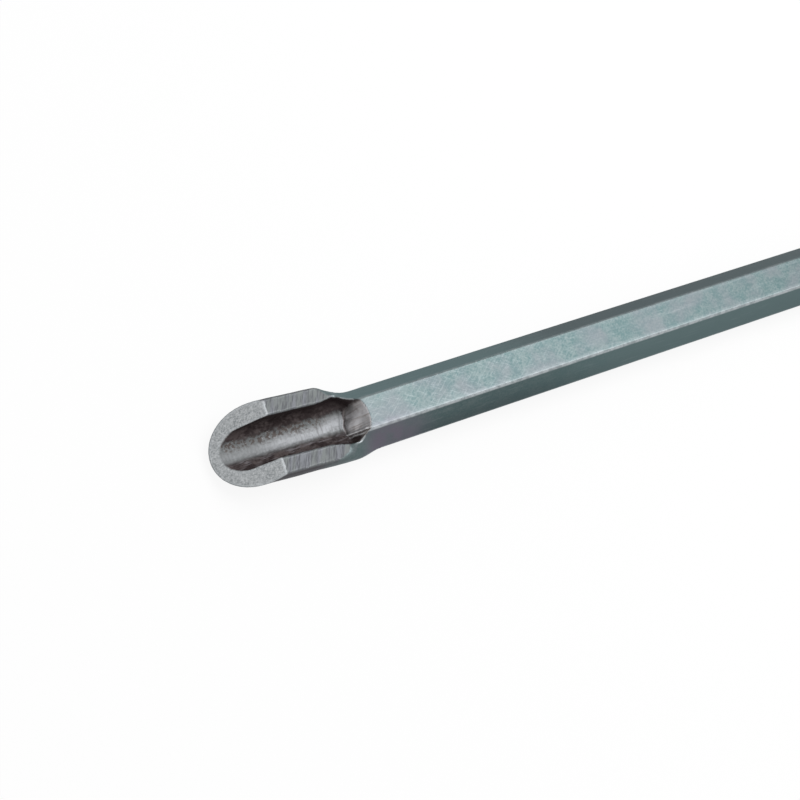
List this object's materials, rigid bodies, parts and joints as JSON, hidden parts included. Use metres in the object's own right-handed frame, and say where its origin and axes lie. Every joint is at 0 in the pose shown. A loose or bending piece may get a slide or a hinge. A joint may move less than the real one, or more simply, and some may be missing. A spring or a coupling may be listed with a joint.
{
  "type": "gouge chisel",
  "caption": "Gouge chisel for a demolition hammer: a hexagon steel bar forged at one end into a hollow, bevelled gouge with a rounded cutting edge.",
  "frame": {"origin": "middle of the struck end's flat face, on the axis of the hexagon bar", "axes": "+X along the bar from the struck end to the cutting edge, +Z the way the trough opens, +Y to the left seen from the struck end"},
  "size_m": [0.3, 0.0286, 0.019],
  "materials": {
    "forged_steel": "bare forged steel with a thin dark scale, ground bright on the bevel and rims"
  },
  "bodies": {
    "root": {"gouge_chisel": "forged_steel"}
  },
  "joints": []
}
